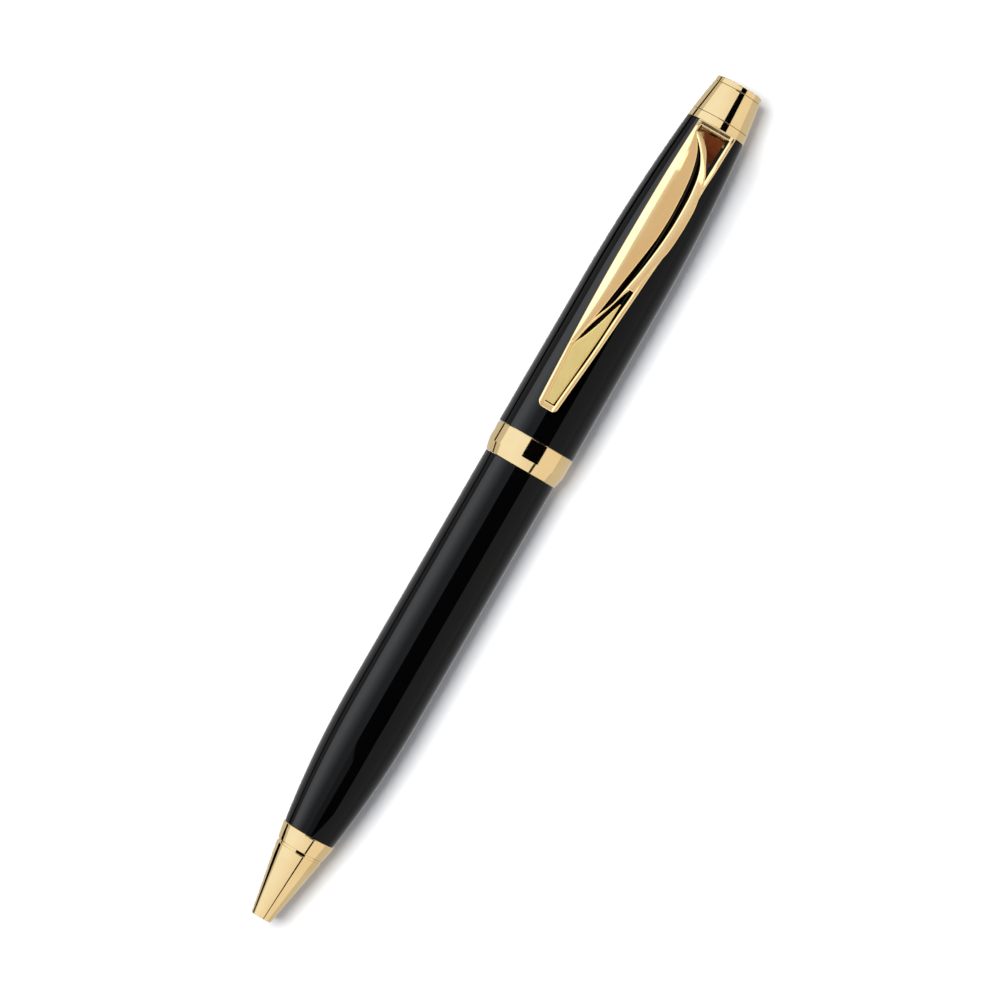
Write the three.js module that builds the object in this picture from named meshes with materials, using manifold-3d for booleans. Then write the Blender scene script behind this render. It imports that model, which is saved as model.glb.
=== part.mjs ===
// Twist-action ballpoint pen: lacquered barrels, gold-plated trim, pierced clip and a full-size refill.
// Millimetres. The pen lies along X on the plane Z = 0, finial towards +X and clip facing +Z.
// Inside this file x runs from 0 at the writing end to LENGTH at the finial, around an axis at y = z = 0.
// place() moves the finished pieces so that the origin is under the middle of the pen.
import * as THREE from "three";
import { mergeVertices } from "three/addons/utils/BufferGeometryUtils.js";
import Module from "manifold-3d";

const wasm = await Module();
wasm.setup();

// Overall sizes
const LENGTH = 140;
const AROUND = 40; // flats round each turned piece that shows
const INSIDE = 28; // and round the hidden ones
const GAP = 0.05; // between pieces that are pushed or screwed together

// Stations along the pen, from the writing end
const CONE_TOP = 11;
const COLLAR_BOTTOM = 11.4;
const BARREL_BOTTOM = 14.15;
const SEAM = 75.8; // where the two halves turn against each other
const BAND_TOP = 80.4;
const BARREL_TOP = 132.8;
const RING_TOP = 134.2;
const CAP_TOP = 139.1;

// Outer radii
const NOSE_R = 1.6;
const CONE_R = 3.67;
const LOWER_R = 5.7;
const UPPER_R = 6.2;
const BAND_R = 6.16;

// Twist action
const STROKE = 5;
const TWIST = Math.PI;
const LUG_X = 102.6;
const LUG_R = 0.6;

// Refill, placed in its retracted position
const POINT_X = 1.6;
const BALL_R = 0.5;
const REFILL_R = 2.95;
const SHOULDER_X = 25;
const REFILL_END = 99.7;

// Clip arm, seen from above and from the side
const CLIP_TIP = 85;
const CLIP_TOP_Z = 8.4;
const CLIP_THICK = 1.2;
const CLIP_BEND_X = 124;
const CLIP_BEND_DROP = 2.4;

const AXIS_HEIGHT = UPPER_R * Math.cos(Math.PI / AROUND);

// ---------- solids ----------

function solid(geometry) {
  const loose = geometry.index ? geometry.toNonIndexed() : geometry;
  const bare = new THREE.BufferGeometry();
  bare.setAttribute("position", loose.getAttribute("position"));
  const merged = mergeVertices(bare, 1e-4);
  const mesh = new wasm.Mesh({
    numProp: 3,
    vertProperties: merged.attributes.position.array,
    triVerts: merged.index.array,
  });
  return new wasm.Manifold(mesh);
}

function geometryOf(shape) {
  const mesh = shape.getMesh();
  const geometry = new THREE.BufferGeometry();
  geometry.setAttribute("position", new THREE.BufferAttribute(mesh.vertProperties, 3));
  geometry.setIndex(new THREE.BufferAttribute(mesh.triVerts, 1));
  geometry.computeVertexNormals();
  return geometry;
}

// Turns a closed outline of [x, radius] points about the pen's axis.
function turned(outline, flats = AROUND) {
  const points = outline.map(([x, r]) => new THREE.Vector2(r, x));
  if (THREE.ShapeUtils.area(points) < 0) points.reverse();
  const onAxis = points.every((p, i) => p.x > 0 || i === 0 || i === points.length - 1);
  if (!onAxis || points[0].x > 0) points.push(points[0].clone());
  const lathe = new THREE.LatheGeometry(points, flats, Math.PI / flats);
  return solid(lathe.rotateZ(-Math.PI / 2));
}

// A tube wall between two faces, as a turned piece of its own.
function sleeve(x0, x1, inner, outer) {
  return turned([[x0, outer], [x1, outer], [x1, inner], [x0, inner]], INSIDE);
}

function rod(x0, x1, radius) {
  return turned([[x0, 0], [x0, radius], [x1, radius], [x1, 0]], INSIDE);
}

function box(x0, x1, y0, y1, z0, z1) {
  const geometry = new THREE.BoxGeometry(x1 - x0, y1 - y0, z1 - z0);
  return solid(geometry.translate((x0 + x1) / 2, (y0 + y1) / 2, (z0 + z1) / 2));
}

// Evenly spaced values from a to b, both included.
function steps(a, b, count) {
  return Array.from({ length: count + 1 }, (_, i) => a + ((b - a) * i) / count);
}

class Helix extends THREE.Curve {
  constructor(radius, x0, x1, angle0, sweep) {
    super();
    Object.assign(this, { radius, x0, x1, angle0, sweep });
  }

  getPoint(t) {
    const angle = this.angle0 + this.sweep * t;
    const x = this.x0 + (this.x1 - this.x0) * t;
    return new THREE.Vector3(x, this.radius * Math.cos(angle), this.radius * Math.sin(angle));
  }
}

// Round wire along a helix.
function coil(helix, wireRadius, sides, stepsAlong) {
  const section = new THREE.Shape();
  section.absarc(0, 0, wireRadius, 0, 2 * Math.PI);
  const options = { extrudePath: helix, steps: stepsAlong, curveSegments: sides / 2 };
  return solid(new THREE.ExtrudeGeometry(section, options));
}

// ---------- barrel outlines ----------

const LOWER_STRAIGHT_X = 36;
const LOWER_ARC = 147;
const UPPER_STRAIGHT_X = 104;
const UPPER_ARC = 291;
const UPPER_TAPER = 0.1; // the radius lost between the band and the start of the arc

// How far a circle of the given radius falls below its crown.
function arcDrop(distance, radius) {
  return radius - Math.sqrt(radius * radius - distance * distance);
}

function lowerRadius(x) {
  return LOWER_R - arcDrop(Math.max(LOWER_STRAIGHT_X - x, 0), LOWER_ARC);
}

function upperRadius(x) {
  const along = Math.min((x - BAND_TOP) / (UPPER_STRAIGHT_X - BAND_TOP), 1);
  return UPPER_R - UPPER_TAPER * along - arcDrop(Math.max(x - UPPER_STRAIGHT_X, 0), UPPER_ARC);
}

// ---------- lower half ----------

function noseCone() {
  const outside = [[0, NOSE_R - 0.15], [0.15, NOSE_R], [3, 2.15], [7.2, 2.95], [CONE_TOP - 0.15, CONE_R]];
  const groove = [[CONE_TOP, CONE_R - 0.1], [COLLAR_BOTTOM, CONE_R - 0.1], [COLLAR_BOTTOM, 3.1]];
  // The spring rests on the step; the refill's neck reaches down to x 7.5 when the pen is open.
  const step = [[COLLAR_BOTTOM, 2.65], [COLLAR_BOTTOM - 0.1, 1.75], [7.2, 1.75], [6.4, 1.3]];
  const tail = [[19, 3.1], [19, 2.65], ...step, [4.5, 1.27], [0, 1.27]];
  return turned([...outside, ...groove, ...tail]);
}

function noseCollar() {
  const x0 = COLLAR_BOTTOM + GAP;
  const x1 = BARREL_BOTTOM - GAP;
  const lip = [[x0, 3.55], [x0 + 0.1, 3.65], [x1 - 1.1, 4.04], [x1 - 0.15, 4.19], [x1, 4.14]];
  const spigot = [[x1, 3.4], [17, 3.4], [17, 3.15], [x0, 3.15]];
  return turned([...lip, ...spigot]);
}

function lowerBarrel() {
  const curve = steps(BARREL_BOTTOM, LOWER_STRAIGHT_X, 8).map((x) => [x, lowerRadius(x)]);
  const mouth = [[SEAM - GAP - 0.1, LOWER_R], [SEAM - GAP, LOWER_R - 0.1]];
  const bore = [[SEAM - GAP, 5.05], [65.9, 5.05], [65.9, 4.9], [36, 4.9], [22, 4.2], [17.5, 3.45]];
  return turned([...curve, ...mouth, ...bore, [BARREL_BOTTOM, 3.45]]);
}

function barrelBush() {
  return sleeve(66, SEAM - 0.2, 4.25, 5.0);
}

function returnSpring() {
  const helix = new Helix(2.15, COLLAR_BOTTOM + 0.3, SHOULDER_X - 0.25, 0, 16 * Math.PI);
  return coil(helix, 0.2, 6, 96);
}

// ---------- twist mechanism ----------

const NIPPLE_BORE = 3.2;
const SLEEVE_TOP = 107.5;

function threadedNipple() {
  const pitch = 1.2;
  const outside = [[68.5, 3.95]];
  for (let x = 68.8; x < 74; x += pitch) {
    outside.push([x, 3.95], [x + pitch / 2, 4.18]);
  }
  outside.push([75.4, 3.95], [75.4, 4.22], [77.4, 4.22], [77.4, 3.72], [78.2, 3.72], [78.2, 4.22]);
  outside.push([84.35, 4.22], [84.35, 3.85], [85.25, 3.85], [85.25, 4.1], [88, 4.1]);
  return turned([...outside, [88, 3.7], [84, 3.7], [84, NIPPLE_BORE], [68.5, NIPPLE_BORE]], INSIDE);
}

function frictionRing() {
  const section = steps(0, 2 * Math.PI, 8).slice(1);
  return turned(section.map((a) => [77.8 + 0.27 * Math.cos(a), 4.0 + 0.27 * Math.sin(a)]), INSIDE);
}

// The spring clip's mouth faces away from the clip.
function retainingRing() {
  return sleeve(84.4, 85.2, 3.9, 4.95).subtract(box(84, 86, -1.2, 1.2, -6, 0));
}

function guideSleeve() {
  const wall = [[84.1, 3.65], [88.05, 3.65], [88.05, 4.1], [SLEEVE_TOP, 4.1], [SLEEVE_TOP, 0]];
  const bore = [[SLEEVE_TOP - 1, 0], [SLEEVE_TOP - 1, NIPPLE_BORE], [84.1, NIPPLE_BORE]];
  const body = turned([...wall, ...bore], INSIDE);
  const clearance = LUG_R + 0.12;
  return body.subtract(box(LUG_X - STROKE - clearance, LUG_X + clearance, -6, 6, -clearance, clearance));
}

// ---------- refill ----------

function writingBall() {
  const ball = new THREE.SphereGeometry(BALL_R, 24, 12);
  return solid(ball.translate(POINT_X + BALL_R, 0, 0));
}

function refillTip() {
  const seat = POINT_X + BALL_R;
  const outside = [[seat - 0.3, 0.5], [seat, 0.62], [POINT_X + 3, 1.12], [POINT_X + 10.9, 1.12]];
  const inside = [[POINT_X + 10.9, 0.3], [seat + 0.6, 0.3], [seat + 0.4, 0.46], [seat, 0.56], [seat - 0.3, 0.44]];
  return turned([...outside, ...inside], INSIDE);
}

function refillNeck() {
  const x0 = POINT_X + 10.95;
  const outside = [[x0, 1.5], [SHOULDER_X, 1.6], [SHOULDER_X, 2.4], [SHOULDER_X + 1, REFILL_R]];
  const spigot = [[27.5, REFILL_R], [27.5, 2.4], [31, 2.4], [31, 0.8], [x0, 0.8]];
  return turned([...outside, ...spigot], INSIDE);
}

function refillTube() {
  return sleeve(27.55, 94, 2.45, REFILL_R);
}

function ink() {
  return rod(31.2, 82, 2.4);
}

// The end cap has four notches, which key it to the carrier.
function refillEndCap() {
  const head = [[94.05, 2.4], [94.05, 2.7], [REFILL_END, 2.7], [REFILL_END, 0]];
  const cap = turned([[88, 0], [88, 2.4], ...head], INSIDE);
  const across = box(98, 101, -4, 4, -0.4, 0.4);
  const upright = box(98, 101, -0.4, 0.4, -4, 4);
  return cap.subtract(across).subtract(upright);
}

function carrier() {
  const wall = [[96.5, 3.1], [104.5, 3.1], [104.5, 0], [REFILL_END + 0.1, 0]];
  const cup = turned([...wall, [REFILL_END + 0.1, 2.8], [96.5, 2.8]], INSIDE);
  const lug = new THREE.CylinderGeometry(LUG_R, LUG_R, 10, 12);
  return cup.add(solid(lug.translate(LUG_X, 0, 0)));
}

// ---------- upper half ----------

function centreBand() {
  const outside = [[SEAM, LOWER_R + 0.05], [SEAM + 1.6, BAND_R - 0.03], [SEAM + 1.65, BAND_R], [BAND_TOP, BAND_R]];
  const spigot = [[BAND_TOP, 5.2], [84.2, 5.2], [84.2, 4.32], [SEAM, 4.32]];
  return turned([...outside, ...spigot]);
}

// Two helical slots turn the twist of the halves into the travel of the refill carrier.
function camSleeve() {
  let body = sleeve(85.7, 109, 4.2, 5.15);
  const overrun = 0.22; // radians of slot beyond the lug at each end
  const rise = (overrun * STROKE) / TWIST;
  for (const start of [0, Math.PI]) {
    const path = new Helix(4.68, LUG_X + rise, LUG_X - STROKE - rise, start - overrun, TWIST + 2 * overrun);
    body = body.subtract(coil(path, 0.92, 10, 24));
  }
  return body;
}

function upperBarrel() {
  const x0 = BAND_TOP + GAP;
  const straight = [[x0, UPPER_R - 0.05], [x0 + 0.1, UPPER_R]];
  const curve = steps(UPPER_STRAIGHT_X, BARREL_TOP, 10).map((x) => [x, upperRadius(x)]);
  const bore = [[BARREL_TOP, 4.02], [124, 4.02], [116, 4.95], [109.5, 5.22], [x0, 5.25]];
  const tube = turned([...straight, ...curve, ...bore]);
  return tube.subtract(box(130.7, 134, -2.3, 2.3, 3.2, 6));
}

function endPlug() {
  const body = sleeve(123.8, 132.25, 1.55, 3.95);
  return body.subtract(box(130.7, 133, -2.3, 2.3, 3.2, 6));
}

function clipHanger() {
  const washer = sleeve(132.3, 132.7, 1.6, 3.1);
  return washer.add(box(132.3, 132.7, -1.4, 1.4, 2.8, 3.7));
}

function clipRing() {
  const outside = [[BARREL_TOP + GAP, 4.62], [BARREL_TOP + 0.15, 4.68], [RING_TOP - GAP, 4.53]];
  return turned([...outside, [RING_TOP - GAP, 1.55], [BARREL_TOP + GAP, 1.55]]);
}

function finialBody() {
  const outside = [[RING_TOP, 4.53], [CAP_TOP, 3.75], [CAP_TOP, 1.1], [138.2, 1.1], [138.2, 0]];
  return turned([...outside, [137.6, 0], [137.6, 1.55], [RING_TOP, 1.55]]);
}

function finialDisc() {
  const x0 = CAP_TOP + GAP;
  const outside = [[x0, 3.7], [LENGTH - 0.12, 3.67], [LENGTH, 3.55], [LENGTH, 0]];
  return turned([...outside, [138.3, 0], [138.3, 1.05], [x0, 1.05]]);
}

function finialStud() {
  return rod(121, 137.5, 1.48);
}

function studNut() {
  const hexagon = new THREE.CylinderGeometry(2.9, 2.9, 2, 6).rotateZ(Math.PI / 2).translate(122.2, 0, 0);
  return solid(hexagon).subtract(rod(120, 125, 1.55));
}

function lockWasher() {
  return sleeve(123.25, 123.75, 1.6, 2.9);
}

// ---------- clip ----------

// A closed plan outline; each run is a list of [x, y] points and is drawn as one smooth curve.
function plan(runs) {
  const shape = new THREE.Shape();
  shape.moveTo(...runs[0][0]);
  for (const run of runs) {
    const points = run.map(([x, y]) => new THREE.Vector2(x, y));
    if (points.length === 2) shape.lineTo(points[1].x, points[1].y);
    else shape.splineThru(points.slice(1));
  }
  return shape;
}

// The arm seen from the side: level, then bending down to the ring.
function armSide(under, over) {
  const bendLength = BARREL_TOP - CLIP_BEND_X;
  const bendRadius = (bendLength ** 2 + CLIP_BEND_DROP ** 2) / (2 * CLIP_BEND_DROP);
  const along = [CLIP_TIP - 1, ...steps(CLIP_BEND_X, BARREL_TOP, 8)];
  const height = (x) => CLIP_TOP_Z - arcDrop(Math.max(x - CLIP_BEND_X, 0), bendRadius);
  const shape = new THREE.Shape();
  shape.setFromPoints([
    ...along.map((x) => new THREE.Vector2(x, height(x) - CLIP_THICK + under)),
    ...along.reverse().map((x) => new THREE.Vector2(x, height(x) + over)),
  ]);
  const slab = new THREE.ExtrudeGeometry(shape, { depth: 12, bevelEnabled: false });
  return solid(slab.rotateX(Math.PI / 2).translate(0, 6, 0));
}

function column(shape) {
  return solid(new THREE.ExtrudeGeometry(shape, { depth: 12, bevelEnabled: false, curveSegments: 2 }));
}

// A piece of the arm with the given plan, between two surfaces that follow the arm.
function armPiece(shape, under = 0, over = 0) {
  return column(shape).intersect(armSide(under, over));
}

const LEFT_EDGE = [[132.75, 2.8], [120.8, 3.2], [109, 3.3], [95.6, 3.05], [87.3, 2.7]];
const TIP_EDGE = [[87.3, 2.7], [85.8, 2.5], [85.05, 1.7]];
const TIP_END = [[85.05, 1.7], [85.05, 0.2]];
const RIGHT_TIP = [[85.05, 0.2], [85.3, -0.3], [86.6, -0.6]];
const RIGHT_EDGE = [[86.6, -0.6], [94.6, -1.3], [103.6, -1.95], [110.5, -2.5], [114, -3.05], [117.9, -3.24]];
const RIGHT_WAIST = [[117.9, -3.24], [120.8, -3.15], [122.6, -2.9], [126.6, -3.1], [132.75, -3.3]];
const TOP_EDGE = [[132.75, -3.3], [132.75, 2.8]];

function trianglePlan(inset) {
  return plan([
    [[131.9 - inset, 1.8 - 2 * inset], [131.4 - inset, 0], [132 - inset, -2.3 + inset]],
    [[132 - inset, -2.3 + inset], [125.6 + 3 * inset, -2.25 + inset]],
    [[125.6 + 3 * inset, -2.25 + inset], [129.2, -0.35 - inset], [131.9 - inset, 1.8 - 2 * inset]],
  ]);
}

function crescentPlan() {
  const inner = [[129.4, 1.45], [124.9, -0.2], [119.5, -0.65], [113.5, -0.3], [106.5, 0.55], [99.9, 1.65]];
  const outer = [[99.9, 1.65], [103.4, 0.35], [109.4, -0.75], [114, -1.35], [119.5, -1.6], [124.9, -1.15], [129.4, 1.45]];
  return plan([inner, outer]);
}

function lowerGapPlan() {
  return plan([
    [[106.4, -1.2], [101.9, -0.95], [95.6, 2.1]],
    [[95.6, 2.1], [103.4, 0.15], [106.4, -1.2]],
  ]);
}

function panelPlan() {
  return plan([
    [[103.2, -0.75], [96, 1.75]],
    [[96, 1.75], [93, 2.3], [87, 2.0]],
    [[87, 2.0], [86.2, 1.6], [86.2, 0.3], [87, 0.0]],
    [[87, 0.0], [95, -0.7], [103.2, -0.75]],
  ]);
}

function ribbonPlan() {
  const outer = [[131.2, 2.4], [128.4, 0.3], [125.4, -1.55], [121.5, -2.75], [117.9, -3.1], [113.6, -2.8], [107, -1.9]];
  const inner = [[106.4, -1.1], [109.6, -1.0], [114, -1.6], [119.5, -1.85], [124.9, -1.35], [129.8, 1.6], [131.2, 2.4]];
  return plan([outer, [outer.at(-1), inner[0]], inner]);
}

function diagonalPlan() {
  return plan([
    [[108.2, -1.3], [103.8, 0.1], [99.7, 1.5], [95.4, 2.7]],
    [[95.4, 2.7], [95.2, 2.2], [101, 0.9], [106.6, -1.15], [108.2, -1.3]],
  ]);
}

// The leaf is pitched like a roof, with its ridge nearer the outer edge.
function leaf() {
  const outline = plan([
    [[130.6, 2.7], [120.8, 3.1], [109, 3.2], [95.8, 2.9]],
    [[95.8, 2.9], [99.9, 1.75], [106.5, 0.65], [113.5, -0.2], [119.5, -0.55], [124.9, -0.1], [129.4, 1.6], [130.6, 2.7]],
  ]);
  const roof = new THREE.Shape();
  roof.setFromPoints([[-4, 0], [4, 0], [4, 8], [1.85, 9], [-4, 7.2]].map(([y, z]) => new THREE.Vector2(y, z)));
  const prism = new THREE.ExtrudeGeometry(roof, { depth: 50, bevelEnabled: false });
  const pitched = solid(prism.rotateX(Math.PI / 2).rotateZ(Math.PI / 2).translate(84, 0, 0));
  return armPiece(outline, 0, 0.6).intersect(pitched);
}

function clip() {
  const outline = plan([LEFT_EDGE, TIP_EDGE, TIP_END, RIGHT_TIP, RIGHT_EDGE, RIGHT_WAIST, TOP_EDGE]);
  const windows = [trianglePlan(0), crescentPlan(), lowerGapPlan(), panelPlan()];
  const frame = windows.reduce((arm, hole) => arm.subtract(column(hole)), armPiece(outline));
  const pad = new THREE.SphereGeometry(0.9, 16, 8).translate(87.6, 1.0, 7.15);
  const foot = box(131.1, 132.2, -2, 2, 3.9, 5.6);
  return frame
    .add(armPiece(ribbonPlan(), 0.3, 0.35))
    .add(armPiece(diagonalPlan(), 0.3, 0.3))
    .add(armPiece(panelPlan(), 0, -0.35))
    .add(leaf())
    .add(solid(pad))
    .add(foot);
}

function clipInlay() {
  return armPiece(trianglePlan(0.35), 0.2, -0.3);
}

// ---------- materials ----------

function metal(color, roughness) {
  return new THREE.MeshStandardMaterial({ color, roughness, metalness: 1 });
}

function plastic(color, roughness) {
  return new THREE.MeshStandardMaterial({ color, roughness, metalness: 0 });
}

const GOLD = metal("#e6cf93", 0.18);
const BRASS = metal("#b8964a", 0.35);
const STEEL = metal("#b9bbbd", 0.3);
const NICKEL = metal("#c9c4b4", 0.25);
const CARBIDE = metal("#7d8084", 0.12);
const LACQUER = plastic("#0c0c0d", 0.08);
const NYLON = plastic("#d9d6cc", 0.5);
const BLACK_RUBBER = plastic("#1b1b1b", 0.8);
const INK = plastic("#101a4a", 0.3);
const ENAMEL = plastic("#6b2f12", 0.2);

// ---------- assembly ----------

const PIECES = [
  ["nose_cone", noseCone(), GOLD],
  ["nose_collar", noseCollar(), GOLD],
  ["lower_barrel", lowerBarrel(), LACQUER],
  ["barrel_bush", barrelBush(), BRASS],
  ["return_spring", returnSpring(), STEEL],
  ["threaded_nipple", threadedNipple(), BRASS],
  ["friction_ring", frictionRing(), BLACK_RUBBER],
  ["retaining_ring", retainingRing(), STEEL],
  ["guide_sleeve", guideSleeve(), BRASS],
  ["writing_ball", writingBall(), CARBIDE],
  ["refill_tip", refillTip(), NICKEL],
  ["refill_neck", refillNeck(), NYLON],
  ["refill_tube", refillTube(), STEEL],
  ["ink", ink(), INK],
  ["refill_end_cap", refillEndCap(), NYLON],
  ["refill_carrier", carrier(), NYLON],
  ["centre_band", centreBand(), GOLD],
  ["cam_sleeve", camSleeve(), NYLON],
  ["upper_barrel", upperBarrel(), LACQUER],
  ["end_plug", endPlug(), BRASS],
  ["clip_hanger", clipHanger(), STEEL],
  ["clip_ring", clipRing(), GOLD],
  ["finial_body", finialBody(), GOLD],
  ["finial_disc", finialDisc(), GOLD],
  ["finial_stud", finialStud(), STEEL],
  ["stud_nut", studNut(), STEEL],
  ["lock_washer", lockWasher(), STEEL],
  ["clip", clip(), GOLD],
  ["clip_inlay", clipInlay(), ENAMEL],
];

function place(name, shape, material) {
  const geometry = geometryOf(shape).translate(-LENGTH / 2, 0, AXIS_HEIGHT);
  const mesh = new THREE.Mesh(geometry, material);
  mesh.name = name;
  return mesh;
}

const pen = new THREE.Group();
pen.name = "pen";
for (const [name, shape, material] of PIECES) {
  pen.add(place(name, shape, material));
}

export default pen;
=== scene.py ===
"""Looks for the twist-action ballpoint pen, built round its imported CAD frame."""

import math

import bmesh
import bpy
from mathutils import Matrix, Vector


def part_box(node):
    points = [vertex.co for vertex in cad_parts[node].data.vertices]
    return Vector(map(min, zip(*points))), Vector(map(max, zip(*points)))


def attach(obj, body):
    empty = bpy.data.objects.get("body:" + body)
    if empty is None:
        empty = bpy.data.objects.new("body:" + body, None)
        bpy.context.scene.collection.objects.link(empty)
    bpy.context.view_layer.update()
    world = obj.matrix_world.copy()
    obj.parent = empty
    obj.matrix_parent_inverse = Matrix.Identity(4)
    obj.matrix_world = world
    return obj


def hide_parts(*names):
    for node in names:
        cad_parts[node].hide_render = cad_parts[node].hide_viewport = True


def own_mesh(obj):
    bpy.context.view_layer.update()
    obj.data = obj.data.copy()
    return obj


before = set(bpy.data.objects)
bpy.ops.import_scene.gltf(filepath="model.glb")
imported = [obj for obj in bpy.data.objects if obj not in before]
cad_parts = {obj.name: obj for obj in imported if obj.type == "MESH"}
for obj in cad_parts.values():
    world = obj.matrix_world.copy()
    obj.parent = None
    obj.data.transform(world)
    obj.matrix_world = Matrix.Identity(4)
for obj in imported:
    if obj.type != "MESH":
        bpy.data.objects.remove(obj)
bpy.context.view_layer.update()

# ---------------------------------------------------------------------------
# The pen's own coordinates: x in millimetres from the writing end, y across
# (positive on the leaf's side), z up from the axis. The CAD boxes place them.
# ---------------------------------------------------------------------------
MM = 0.001
NOSE_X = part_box("nose_cone")[0].x
FINIAL_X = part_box("finial_disc")[1].x
LENGTH = (FINIAL_X - NOSE_X) / MM
ball_low, ball_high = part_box("writing_ball")
AXIS_Z = (ball_low.z + ball_high.z) / 2


def place(x, y, z):
    """A point in the row frame, in metres."""
    return Vector((NOSE_X + x * MM, y * MM, AXIS_Z + z * MM))


# Stations along the pen
CONE_TOP = 11.0
COLLAR_BOTTOM = 11.4
BARREL_BOTTOM = 14.15
SEAM = 75.8
BAND_TOP = 80.4
BARREL_TOP = 132.8
RING_TOP = 134.2
CAP_TOP = 139.1

# Radii
CONE_R = 3.67
LOWER_R = 5.7
UPPER_R = 6.2
BAND_R = 6.16

# The barrels are straight up to where a long arc curves them in.
LOWER_ARC_X = 36.0
LOWER_ARC_R = 147.0
UPPER_ARC_X = 104.0
UPPER_ARC_R = 291.0
UPPER_TAPER = 0.1

THREAD_PITCH = 1.0

AROUND = 160  # facets round a turned piece that shows
AROUND_INSIDE = 96
AROUND_SMALL = 64


def arc_drop(distance, radius):
    """How far an arc has curved away from its tangent, at a distance along it."""
    return radius - math.sqrt(radius * radius - distance * distance)


def lower_radius(x):
    return LOWER_R - arc_drop(max(LOWER_ARC_X - x, 0.0), LOWER_ARC_R)


def upper_radius(x):
    along = min((x - BAND_TOP) / (UPPER_ARC_X - BAND_TOP), 1.0)
    return UPPER_R - UPPER_TAPER * along - arc_drop(max(x - UPPER_ARC_X, 0.0), UPPER_ARC_R)


def spaced(a, b, count):
    """Evenly spaced values from a to b, in count steps."""
    return [a + (b - a) * i / count for i in range(count + 1)]


# ---------------------------------------------------------------------------
# Node materials
# ---------------------------------------------------------------------------
class Nodes:
    """A small helper round one material's node tree."""

    def __init__(self, name):
        self.material = bpy.data.materials.new(name)
        self.material.use_nodes = True
        self.tree = self.material.node_tree
        self.shader = self.tree.nodes["Principled BSDF"]

    def add(self, kind, **settings):
        node = self.tree.nodes.new(kind)
        for key, value in settings.items():
            if key in node.inputs:
                node.inputs[key].default_value = value
            else:
                setattr(node, key, value)
        return node

    def join(self, source, target):
        self.tree.links.new(source, target)

    def set(self, **values):
        for key, value in values.items():
            self.shader.inputs[key.replace("_", " ")].default_value = value

    def place(self, scale):
        """Object coordinates stretched by scale."""
        coordinates = self.add("ShaderNodeTexCoord")
        mapping = self.add("ShaderNodeMapping")
        mapping.inputs["Scale"].default_value = scale
        self.join(coordinates.outputs["Object"], mapping.inputs["Vector"])
        return mapping.outputs["Vector"]

    def noise(self, scale, detail=4.0, stretch=(1, 1, 1)):
        node = self.add("ShaderNodeTexNoise", Scale=scale, Detail=detail)
        self.join(self.place(stretch), node.inputs["Vector"])
        return node.outputs["Fac"]

    def ramp(self, factor, low, high, start=0.3, end=0.7):
        node = self.add("ShaderNodeValToRGB")
        node.color_ramp.elements[0].position = start
        node.color_ramp.elements[1].position = end
        node.color_ramp.elements[0].color = (*low, 1)
        node.color_ramp.elements[1].color = (*high, 1)
        self.join(factor, node.inputs["Fac"])
        return node.outputs["Color"]

    def span(self, factor, low, high):
        node = self.add("ShaderNodeMapRange")
        node.inputs["To Min"].default_value = low
        node.inputs["To Max"].default_value = high
        self.join(factor, node.inputs["Value"])
        return node.outputs["Result"]

    def bump(self, height, strength, distance):
        node = self.add("ShaderNodeBump", Strength=strength, Distance=distance)
        self.join(height, node.inputs["Height"])
        self.join(node.outputs["Normal"], self.shader.inputs["Normal"])

    def colour(self, output):
        self.join(output, self.shader.inputs["Base Color"])

    def roughness(self, output):
        self.join(output, self.shader.inputs["Roughness"])


# How a finish is drawn out along x, y and z; a small number makes long marks that way.
EVEN = (1, 1, 1)
ALONG = (0.05, 1, 1)
ROUND = (4, 0.4, 0.4)


def metal(name, low, high, rough, stretch, grain, bump):
    """A metal with a little tint variation and a fine directional finish."""
    m = Nodes(name)
    m.set(Metallic=1.0)
    m.colour(m.ramp(m.noise(220.0), low, high))
    finish = m.noise(grain, 6.0, stretch)
    m.roughness(m.span(finish, *rough))
    m.bump(finish, bump, 0.00002)
    return m.material


def gold_material():
    return metal("gold_plate", (0.90, 0.66, 0.32), (0.94, 0.71, 0.37), (0.045, 0.085), EVEN, 900.0, 0.02)


def clip_gold_material():
    return metal("clip_gold", (0.91, 0.67, 0.33), (0.95, 0.72, 0.38), (0.10, 0.16), (0.2, 1, 1), 1500.0, 0.03)


def panel_gold_material():
    low, high = (0.80, 0.64, 0.25), (0.85, 0.69, 0.29)
    return metal("panel_gold", low, high, (0.20, 0.28), (0.1, 1, 1), 4000.0, 0.06)


def brass_material():
    return metal("raw_brass", (0.55, 0.37, 0.14), (0.66, 0.46, 0.19), (0.22, 0.34), ROUND, 1500.0, 0.12)


def steel_material(name, stretch):
    return metal(name, (0.50, 0.50, 0.51), (0.60, 0.60, 0.61), (0.20, 0.32), stretch, 2500.0, 0.08)


def nickel_material():
    return metal("nickel_silver", (0.56, 0.53, 0.45), (0.66, 0.63, 0.54), (0.15, 0.24), ROUND, 2500.0, 0.08)


def carbide_material():
    return metal("carbide", (0.26, 0.27, 0.29), (0.34, 0.35, 0.37), (0.12, 0.2), EVEN, 6000.0, 0.1)


def lacquer_material():
    """Deep black under a clear coat, with the faintest unevenness left by polishing."""
    m = Nodes("black_lacquer")
    m.set(Metallic=0.0, IOR=1.26)
    m.colour(m.ramp(m.noise(90.0), (0.0006, 0.0006, 0.0006), (0.0012, 0.0012, 0.0012)))
    m.roughness(m.span(m.noise(400.0, 5.0), 0.03, 0.055))
    m.bump(m.noise(120.0, 3.0, (0.3, 1, 1)), 0.02, 0.00004)
    return m.material


def plastic_material(name, low, high, rough, bump):
    m = Nodes(name)
    m.colour(m.ramp(m.noise(300.0), low, high))
    grain = m.noise(5000.0, 3.0)
    m.roughness(m.span(grain, *rough))
    m.bump(grain, bump, 0.00003)
    return m.material


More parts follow.
